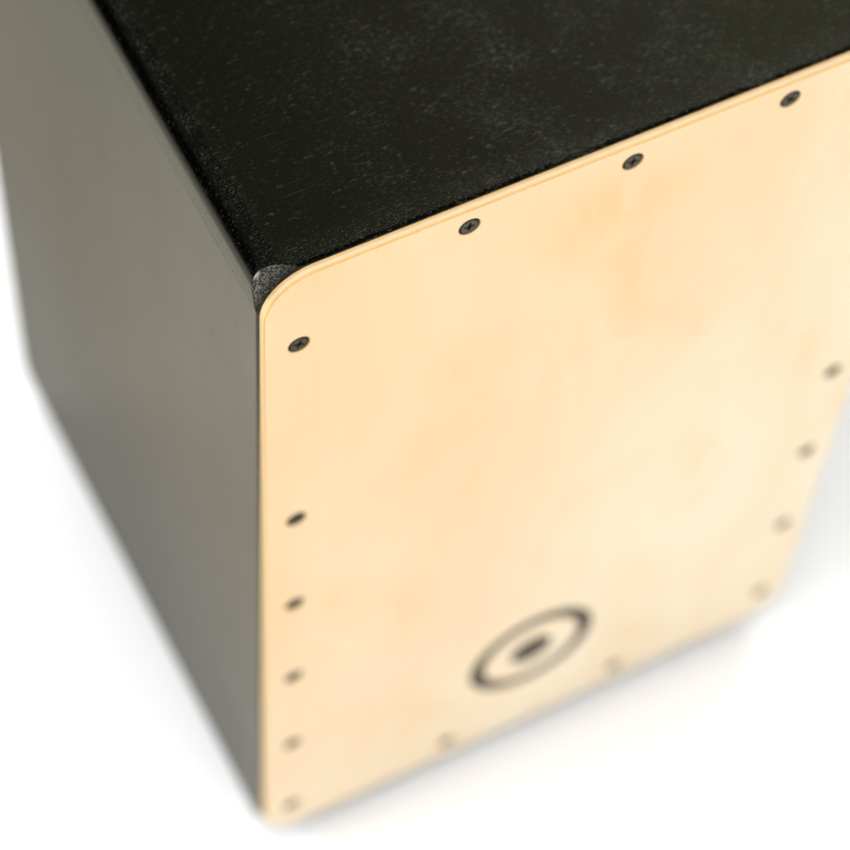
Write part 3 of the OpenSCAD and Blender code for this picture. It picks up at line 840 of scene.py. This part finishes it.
def board_distance(p, face_z, flip):
    """Distance outside the box with rounded edges and sanded corners, and its normal.
    flip is 1 for the top of the box and -1 for its underside; face_z is along flip."""
    across, back = abs(p.x), abs(p.y - mid_y)
    z = flip * p.z
    side, side_x, side_z = across - half_x, 1.0, 0.0
    if flip > 0:
        lean = side * math.cos(LEAN) + (z - face_z + LEAN_DEPTH) * math.sin(LEAN)
        overlap = max(LEAN_SOFT - abs(side - lean), 0.0)
        share = overlap / (2 * LEAN_SOFT)
        weight = share if side > lean else 1 - share
        side = max(side, lean) + overlap * overlap / (4 * LEAN_SOFT)
        side_x = (1 - weight) + weight * math.cos(LEAN)
        side_z = weight * math.sin(LEAN)
    edge, by_side, by_face = round_max(side, z - face_z, EDGE_R)
    normal = Vector((by_side * side_x, 0.0, by_side * side_z + by_face))
    rim_r = EASE_R + (RIM_R - EASE_R) * by_face * by_face
    rim, by_edge, by_rim = round_max(edge, back - half_y, rim_r)
    normal = normal * by_edge + Vector((0.0, by_rim, 0.0))
    flat = (flat_normal.x * (across - half_x) + flat_normal.y * (back - half_y)
            + flat_normal.z * (z - face_z) + flat_depth)
    distance, by_board, by_flat = round_max(rim, flat, FLAT_R)
    normal = normal * by_board + flat_normal * by_flat
    normal = Vector((normal.x * (1 if p.x >= 0 else -1),
                     normal.y * (1 if p.y >= mid_y else -1), normal.z * flip))
    return distance, normal.normalized()


def grid_lines(low, high, near):
    """Grid lines, fine within near of both ends and coarse in the middle."""
    steps, x = [], 0.0
    half = (high - low) / 2
    while x < half:
        steps.append(x)
        x += GRID_FINE if x < near else (GRID_FINE * 2.0 if x < near * 2.1 else GRID_COARSE)
    if half - steps[-1] < GRID_COARSE * 0.4:
        steps.pop()
    return [low + a for a in steps] + [(low + high) / 2] + [high - a for a in reversed(steps)]


def slab_grid(low_z, high_z):
    """Vertices and quads over the six sides of a slab."""
    xs = grid_lines(-half_x, half_x, near=11 * MM)
    ys = grid_lines(front_y, rear_y, near=9 * MM)
    layers = int(round((high_z - low_z) / GRID_FINE))
    zs = [low_z + (high_z - low_z) * k / layers for k in range(layers + 1)]
    index, verts, faces = {}, [], []

    def quad(*corners):
        for corner in corners:
            if corner not in index:
                index[corner] = len(verts)
                i, j, k = corner
                verts.append(Vector((xs[i], ys[j], zs[k])))
        faces.append(tuple(index[corner] for corner in corners))

    right, rear, top = len(xs) - 1, len(ys) - 1, len(zs) - 1
    for i in range(right):
        for j in range(rear):
            quad((i, j, 0), (i, j + 1, 0), (i + 1, j + 1, 0), (i + 1, j, 0))
            quad((i, j, top), (i + 1, j, top), (i + 1, j + 1, top), (i, j + 1, top))
    for i in range(right):
        for k in range(top):
            quad((i, 0, k), (i + 1, 0, k), (i + 1, 0, k + 1), (i, 0, k + 1))
            quad((i, rear, k), (i, rear, k + 1), (i + 1, rear, k + 1), (i + 1, rear, k))
    for j in range(rear):
        for k in range(top):
            quad((0, j, k), (0, j, k + 1), (0, j + 1, k + 1), (0, j + 1, k))
            quad((right, j, k), (right, j + 1, k), (right, j + 1, k + 1), (right, j, k + 1))
    return verts, faces


def rounded_board(name, node, material, flip, bores):
    """A slab whose outer edges follow board_distance. Each bore is (start, axis, radius,
    length)."""
    low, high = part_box(node)
    face_z = high.z if flip > 0 else -low.z
    verts, faces = slab_grid(low.z, high.z)

    # pull every point that lies outside towards the slab's core, onto the surface
    inset = (high.z - low.z) / 2
    mid_z = (low.z + high.z) / 2
    places = []
    for vertex in verts:
        inner, outer = 0.0, 1.0
        core = Vector((max(-half_x + inset, min(half_x - inset, vertex.x)),
                       max(front_y + inset, min(rear_y - inset, vertex.y)), mid_z))
        if board_distance(vertex, face_z, flip)[0] <= 1e-9:
            places.append(vertex)
            continue
        for _ in range(36):
            part = (inner + outer) / 2
            if board_distance(core.lerp(vertex, part), face_z, flip)[0] > 0:
                outer = part
            else:
                inner = part
        places.append(core.lerp(vertex, inner))
    mesh = bpy.data.meshes.new(name)
    mesh.from_pydata([tuple(place) for place in places], [], faces)

    for start, axis, radius, length in bores:
        cutter = lathe("bore", [(0, -0.002), (radius, -0.002), (radius, length),
                                (0, length + radius * 0.6)], 20)
        turn = Vector((0, 0, 1)).rotation_difference(Vector(axis)).to_matrix().to_4x4()
        cutter.transform(Matrix.Translation(start) @ turn)
        mesh = boolean_cut(mesh, cutter)

    # exact normals on the rounded surface, flat ones elsewhere
    mesh.shade_smooth()
    normals = []
    for face in mesh.polygons:
        for corner in face.loop_indices:
            place = mesh.vertices[mesh.loops[corner].vertex_index].co
            distance, normal = board_distance(place, face_z, flip)
            on_surface = abs(distance) < 2e-6 and normal.dot(face.normal) > 0.80
            normals.append(tuple(normal if on_surface else face.normal))
    mesh.materials.clear()
    mesh.materials.append(MATS[material])
    mesh.normals_split_custom_set(normals)
    board = add_object(name, mesh)
    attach(board, "box")
    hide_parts(node)


FEET = ("foot_front_left", "foot_front_right", "foot_rear_left", "foot_rear_right")

seat_bores = [((x, front_y, z), (0, 1, 0), SHANK_R + 0.06 * MM, 18 * MM)
              for x, z, _ in plate_spots["frontplate_screws_top"]]
rounded_board("seat_board", "seat_panel", "seat", 1, seat_bores)
base_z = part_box("bottom_panel")[0].z
foot_bores = []
for foot in FEET:
    x, y, _ = middle(*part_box(foot))
    foot_bores.append(((x, y, base_z), (0, 0, 1), 2.06 * MM, 10.5 * MM))
rounded_board("base_board", "bottom_panel", "side", -1, foot_bores)
dress("side", "left_side_panel", "right_side_panel")
dress("pine", "front_batten_left", "front_batten_right", "rear_cleat_left", "rear_cleat_right")
dress("pine_x", "front_batten_bottom", "rear_cleat_top", "rear_cleat_bottom")

# ---------------------------------------------------------------- feet

WELL_R, WELL_TOP = 8 * MM, 9.2 * MM   # round well in the underside
STEM_R = 2.4 * MM                     # hole through the top
SOLE_ROUND = 1.3 * MM
SOLE_INSET = 3.4 * MM                 # how much narrower the sole is than the top


def foot_profile(radius, height):
    """(radius, z) from the well, over the sole, up the side and back down the hole."""
    sole_r = radius - SOLE_INSET
    profile = [(WELL_R, WELL_TOP), (WELL_R, 0.6 * MM), (8.3 * MM, 0.15 * MM), (8.9 * MM, 0.0)]
    for k in range(5):
        turn = math.radians(90 * k / 4)
        profile.append((sole_r - SOLE_ROUND + SOLE_ROUND * math.sin(turn),
                        SOLE_ROUND - SOLE_ROUND * math.cos(turn)))
    return profile + [
        (radius - 1.6 * MM, height * 0.55), (radius - 1.0 * MM, height * 0.62),
        (radius - 0.9 * MM, height * 0.66), (radius - 0.2 * MM, height * 0.70),
        (radius, height * 0.75), (radius, height - 1.0 * MM),
        (radius - 0.3 * MM, height - 0.3 * MM), (radius - 1.0 * MM, height),
        (STEM_R, height), (STEM_R, WELL_TOP), (WELL_R, WELL_TOP)]


for foot in FEET:
    low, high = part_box(foot)
    x, y, _ = middle(low, high)
    name = "rubber_" + foot
    mesh = lathe(name, foot_profile((high.x - low.x) / 2, high.z - low.z), 64)
    mesh.transform(Matrix.Translation((x, y, low.z)))
    add_piece(name, mesh, ["rubber"], "box", foot, sharp=50)
dress("zinc", "foot_washers", "foot_screws")

# ---------------------------------------------------------------- snares

WIRE_R = 0.24 * MM
COIL_PITCH = 1.25 * MM
STEPS_PER_TURN = 10

dress("beech", "snare_bar", "snare_block_left", "snare_block_right", "snare_lever")
dress("strip", "snare_strip_left", "snare_strip_right")
dress("zinc", "snare_strip_screws", "snare_block_screws", "snare_lock_screw")


def rod_in_box(low, high):
    """Start, end and radius of the rod that fills a box. Its foot is at the back and its
    tip at the front."""
    x = middle(low, high)[0]
    radius = (high.x - low.x) / 2
    depth, height = high.y - low.y, high.z - low.z
    lean = math.atan2(depth, height)
    for _ in range(20):
        lean = math.atan2(depth - 2 * radius * math.cos(lean),
                          height - 2 * radius * math.sin(lean))
    in_y, in_z = radius * math.cos(lean), radius * math.sin(lean)
    return Vector((x, high.y - in_y, low.z + in_z)), Vector((x, low.y + in_y, high.z - in_z)), radius


def coil_mesh(name, rods):
    """A coiled wire along each rod, given as (start, end, outside radius)."""
    verts, faces = [], []
    for start, end, radius in rods:
        axis = end - start
        length = axis.length
        axis.normalize()
        u = axis.orthogonal().normalized()
        v = axis.cross(u)
        turns = length / COIL_PITCH
        rings = []
        for k in range(int(turns * STEPS_PER_TURN) + 1):
            turn = k / STEPS_PER_TURN
            angle = 2 * math.pi * turn
            radial = u * math.cos(angle) + v * math.sin(angle)
            centre = start + axis * (COIL_PITCH * turn + WIRE_R) + radial * (radius - WIRE_R)
            rings.append(list(range(len(verts), len(verts) + 4)))
            for side in range(4):
                around = math.pi / 2 * side
                verts.append(centre + radial * (WIRE_R * math.cos(around))
                             + axis * (WIRE_R * math.sin(around)))
        faces.append(tuple(reversed(rings[0])))
        for first, second in zip(rings, rings[1:]):
            faces += bridge(first, second)
        faces.append(tuple(rings[-1]))
    mesh = bpy.data.meshes.new(name)
    mesh.from_pydata([tuple(vertex) for vertex in verts], [], faces)
    return mesh


for side in ("left", "right"):
    node, name = "snare_wires_" + side, "snare_coils_" + side
    rods = [rod_in_box(low, high) for low, high in solid_boxes(node)]
    add_piece(name, coil_mesh(name, rods), ["wire"], "snare_carrier", node)

# ---------------------------------------------------------------- floor

FLOOR_HALF = 6


def floor_material():
    m = Surface("pale_floor")
    x, y, _ = m.position()
    camera_ray = m.node("ShaderNodeLightPath", outlet="Is Camera Ray")
    glossy_ray = m.node("ShaderNodeLightPath", outlet="Is Glossy Ray")
    pale = m.mix(m.ramp(m.noise(scale=1.5), span=(0.3, 0.7)),
                 under=(0.93, 0.93, 0.96), over=(0.95, 0.95, 0.98))
    # what the satin boards pick up: warmer further out, dimmer to the back and the left
    black = (0.0, 0.0, 0.0)
    wide = abs(x)
    seen = m.mix(m.ramp(wide, span=(0.175, 0.215)),
                 under=(0.668, 0.650, 0.590), over=(0.688, 0.624, 0.510))
    seen = m.mix(m.ramp(wide, span=(0.235, 0.285)), seen, over=(0.695, 0.665, 0.550))
    aslant = wide * -1.973 + y * 0.7515  # slanting bands, the same on both sides
    seen = m.mix(m.ramp(aslant, span=(-0.440, -0.310), to=(0.0, 0.28), curve="LINEAR"),
                 seen, black)
    seen = m.mix(m.ramp(y, span=(0.04, 0.42), to=(0.0, 0.19)), seen, black)
    seen = m.mix(m.ramp(x, span=(-1.0, -2.3)), seen, over=(0.02, 0.02, 0.02))
    bounce = m.mix(glossy_ray, under=(0.86, 0.84, 0.78), over=seen)
    matt = m.principled(color=m.mix(camera_ray, bounce, pale), rough=0.9, spec=0.0)
    # the floor runs out to even white away from the object
    reach = m.distance(x, y)
    white = m.node("ShaderNodeEmission", {"Color": (1, 1, 1), "Strength": 1.0})
    sweep = m.node("ShaderNodeMixShader",
                   {0: m.ramp(reach, span=(0.28, 0.85)) * camera_ray, 1: matt, 2: white})
    # a bright strip far to the right, picked up by the satin boards
    strength = (m.ramp(x, span=(0.9, 3.0)) * glossy_ray) * 0.34
    strip = m.node("ShaderNodeEmission", {"Color": (1.0, 1.0, 0.84), "Strength": strength})
    return m.done(m.node("ShaderNodeAddShader", {0: sweep, 1: strip}))


floor_mesh = bpy.data.meshes.new("floor")
floor_mesh.from_pydata([(x * FLOOR_HALF, y * FLOOR_HALF, 0)
                        for x, y in ((-1, -1), (1, -1), (1, 1), (-1, 1))], [], [(0, 1, 2, 3)])
floor = add_object("floor", floor_mesh)
floor_mesh.materials.append(floor_material())

# ---------------------------------------------------------------- world and lights


def build_world():
    """White to the camera; to everything else a dark room with a few soft panels."""
    world = bpy.data.worlds.new("studio")
    scene.world = world
    world.use_nodes = True
    g = Graph(world.node_tree, idle=0.5)
    direction = g.node("ShaderNodeTexCoord", outlet="Generated")

    def toward(axis):
        return g.node("ShaderNodeVectorMath", {0: direction, 1: axis}, outlet="Value",
                      operation="DOT_PRODUCT")

    # a ceiling over the back, brighter to the right
    height = toward((0.0, 0.0, 1.0))
    over = (g.ramp(height, span=(0.36, 0.46))
            * g.ramp(toward((0.0, 1.0, 0.0)), span=(-0.12, 0.14)))
    ceiling = over * g.ramp(toward((1.0, 0.0, 0.0)), span=(0.17, 0.50), to=(0.110, 0.68))
    # a small panel at the front left, a faint fill from the front, a low wall at the right back
    panel = g.ramp(toward((-0.62, -0.62, 0.48)), span=(0.955, 0.995), to=(0.0, 2.0))
    fill = g.ramp(toward((0.0, -1.0, 0.0)), span=(0.2, 1.0), to=(0.0, 0.06))
    wall = (g.ramp(height, span=(0.34, 0.06))
            * g.ramp(toward((0.86, 0.51, 0.0)), span=(0.45, 0.85), to=(0.0, 0.36)))
    glow = (ceiling + panel) + (fill + wall)
    room = g.node("ShaderNodeBackground", {"Strength": glow, "Color": (1.0, 1.0, 0.68)})
    white = g.node("ShaderNodeBackground", {"Strength": 1.0, "Color": (1.0, 1.0, 1.0)})
    camera_ray = g.node("ShaderNodeLightPath", outlet="Is Camera Ray")
    g.finish("ShaderNodeOutputWorld",
             g.node("ShaderNodeMixShader", {0: camera_ray, 1: room, 2: white}))


def area(name, place, target, size, power, color=(1, 1, 1)):
    """A rectangular light aimed at target and hidden from reflections."""
    light = bpy.data.lights.new(name, "AREA")
    light.shape = "RECTANGLE"
    light.size, light.size_y = size
    light.energy = power
    light.color = color
    lamp = add_object(name, light)
    lamp.location = place
    aim = Vector(target) - Vector(place)
    lamp.rotation_euler = aim.to_track_quat("-Z", "Y").to_euler()
    lamp.visible_glossy = False


build_world()
area("key", place=(0.4, -2.4, 1.5), target=(0, 0, 0.25), size=(2.2, 1.6), power=34,
     color=(1.0, 0.99, 0.965))
area("over", place=(-1.0, -0.6, 3.0), target=(-0.2, 0.0, 0), size=(2.4, 2.4), power=82)
area("left_floor", place=(-2.4, 1.0, 2.2), target=(-0.7, 0.3, 0), size=(1.6, 1.6), power=44)
area("right_back", place=(1.9, 1.6, 2.4), target=(0.5, 0.3, 0.2), size=(1.6, 1.6), power=34)
area("port_fill", place=(0.25, 2.1, 0.45), target=(0.0, 0.1, 0.19), size=(0.7, 0.7), power=20)

# ---------------------------------------------------------------- camera

# the camera's own axes in the scene
CAMERA_RIGHT = Vector((0.8868883485, -0.4594550309, 0.0482714396))
CAMERA_UP = Vector((0.3710219932, 0.7706238954, 0.5181519974))
CAMERA_BACK = Vector((-0.2752666668, -0.4416332035, 0.8539252752))

camera_data = bpy.data.cameras.new("camera")
camera = add_object("camera", camera_data)
pose = Matrix((CAMERA_RIGHT, CAMERA_UP, CAMERA_BACK)).transposed().to_4x4()
pose.translation = Vector((-0.37634, -0.62786, 1.28406))
camera.matrix_world = pose
camera_data.sensor_width = 36.0
camera_data.lens = 115.4541176
camera_data.clip_start = 0.01
camera_data.clip_end = 50
focus = add_object("focus_point", None)
focus.location = (0, 0, 0.622)
camera_data.dof.use_dof = True
camera_data.dof.focus_object = focus
camera_data.dof.aperture_fstop = 5.6
scene.camera = camera

scene.view_settings.view_transform = "Standard"
scene.view_settings.look = "None"
scene.view_settings.exposure = 0.0
scene.view_settings.gamma = 1.0
